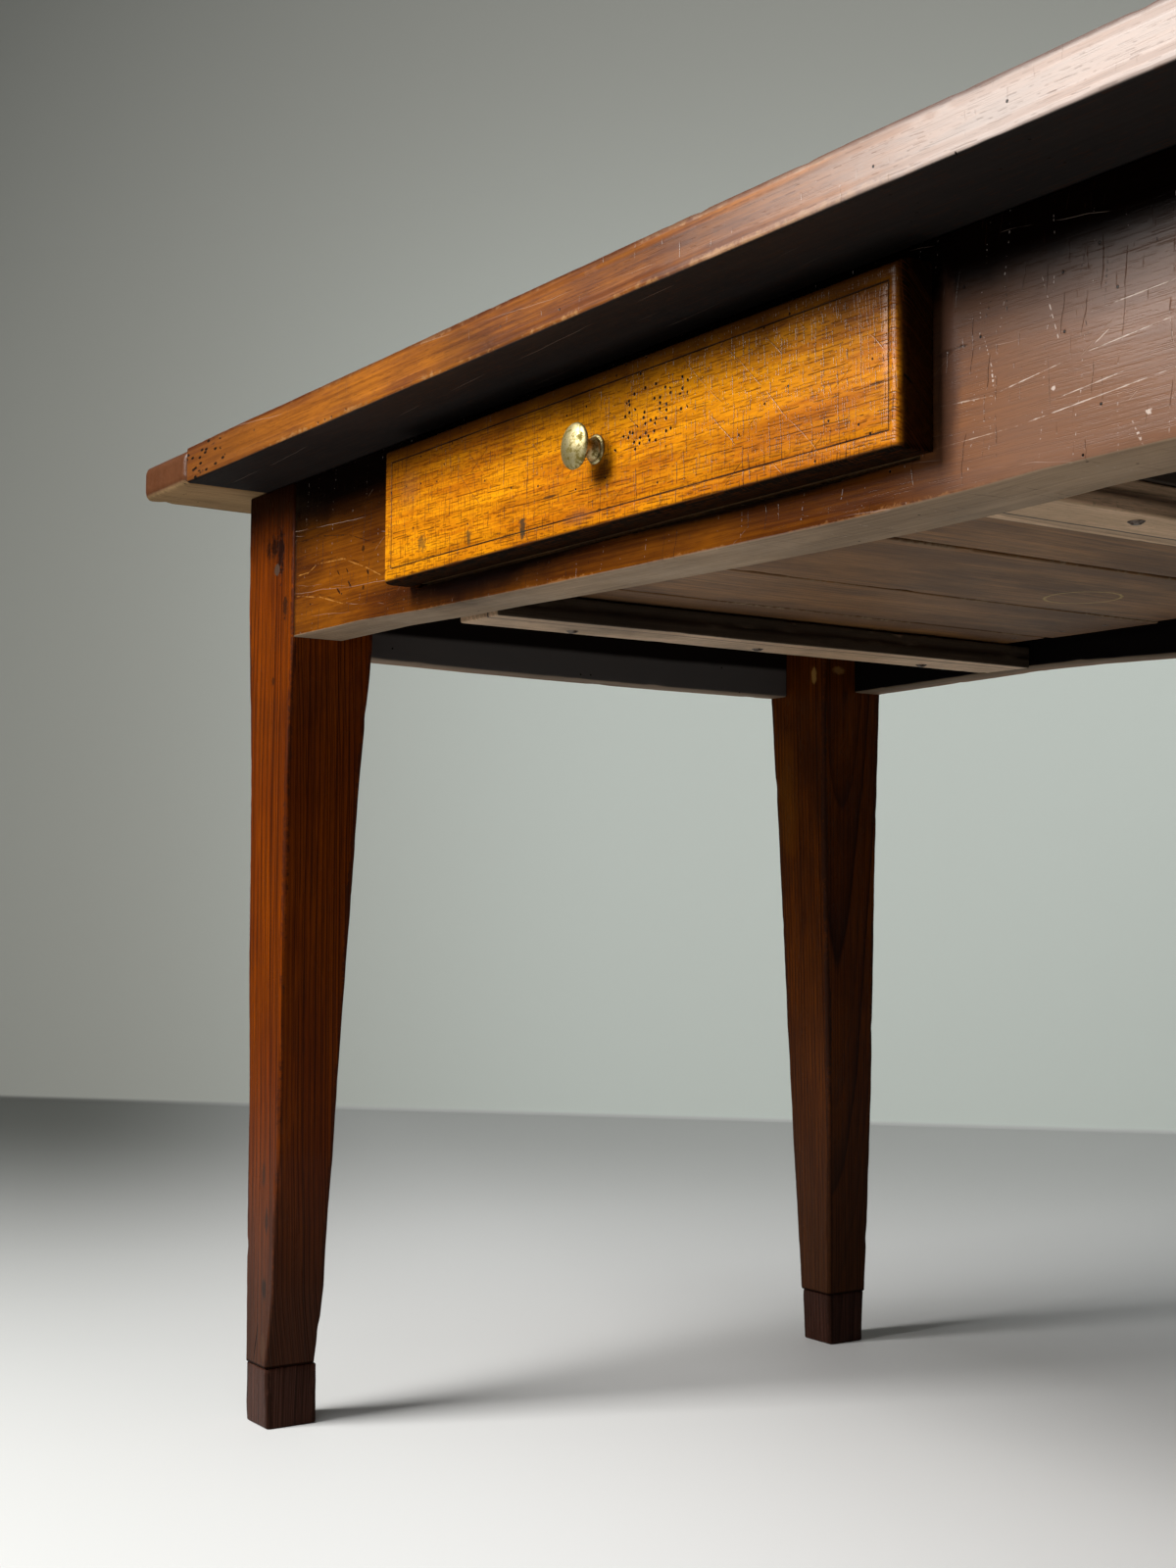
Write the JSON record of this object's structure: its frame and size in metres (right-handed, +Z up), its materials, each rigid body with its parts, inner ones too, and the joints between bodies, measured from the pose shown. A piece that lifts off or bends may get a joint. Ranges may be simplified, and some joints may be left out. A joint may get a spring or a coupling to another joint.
{
  "type": "farmhouse table",
  "caption": "Old farmhouse table with square tapered legs, breadboard ends, deep aprons and a lipped drawer with a brass mushroom knob that slides out of the front apron.",
  "frame": {"origin": "on the floor, under the middle of the tabletop", "axes": "+X along the table's length to the right as seen from the drawer, +Y from the drawer's side to the rear, +Z up"},
  "size_m": [1.192, 0.75, 0.765],
  "materials": {
    "top_wood": "old dark varnish, worn at the edges",
    "leg_wood": "worn wax over old varnish",
    "apron_wood": "worn varnish with scratches and a dull bloom",
    "drawer_front_wood": "waxed golden fruitwood, fine crackle",
    "inner_wood": "bare, grey-brown and dusty",
    "peg_wood": "dark, worn flush",
    "knob_brass": "tarnished",
    "iron": "dark, slightly rusted"
  },
  "bodies": {
    "table": {"top_board_1": "top_wood", "top_board_2": "top_wood", "top_board_3": "top_wood", "top_board_4": "top_wood", "breadboard_end_left": "top_wood", "breadboard_end_right": "top_wood", "leg_front_left": "leg_wood", "leg_front_right": "leg_wood", "leg_rear_left": "leg_wood", "leg_rear_right": "leg_wood", "foot_front_left": "leg_wood", "foot_front_right": "leg_wood", "foot_rear_left": "leg_wood", "foot_rear_right": "leg_wood", "apron_front": "apron_wood", "apron_rear": "apron_wood", "apron_left": "apron_wood", "apron_right": "apron_wood", "runner_left": "inner_wood", "runner_right": "inner_wood", "guide_left": "inner_wood", "guide_right": "inner_wood", "tenon_pegs": "peg_wood", "top_pegs": "peg_wood", "breadboard_pegs": "peg_wood", "foot_dowels": "peg_wood", "runner_nails": "iron"},
    "drawer": {"drawer_front": "drawer_front_wood", "drawer_side_left": "inner_wood", "drawer_side_right": "inner_wood", "drawer_back": "inner_wood", "drawer_bottom_1": "inner_wood", "drawer_bottom_2": "inner_wood", "drawer_bottom_3": "inner_wood", "drawer_bottom_4": "inner_wood", "drawer_bottom_5": "inner_wood", "drawer_nails": "iron", "knob": "knob_brass", "knob_collar": "knob_brass", "knob_post": "iron", "knob_nut": "iron"}
  },
  "joints": [
    {"name": "drawer_slide", "type": "slide", "parent": "table", "child": "drawer", "axis": [0, -1, 0], "range_m": [0, 0.4]}
  ]
}
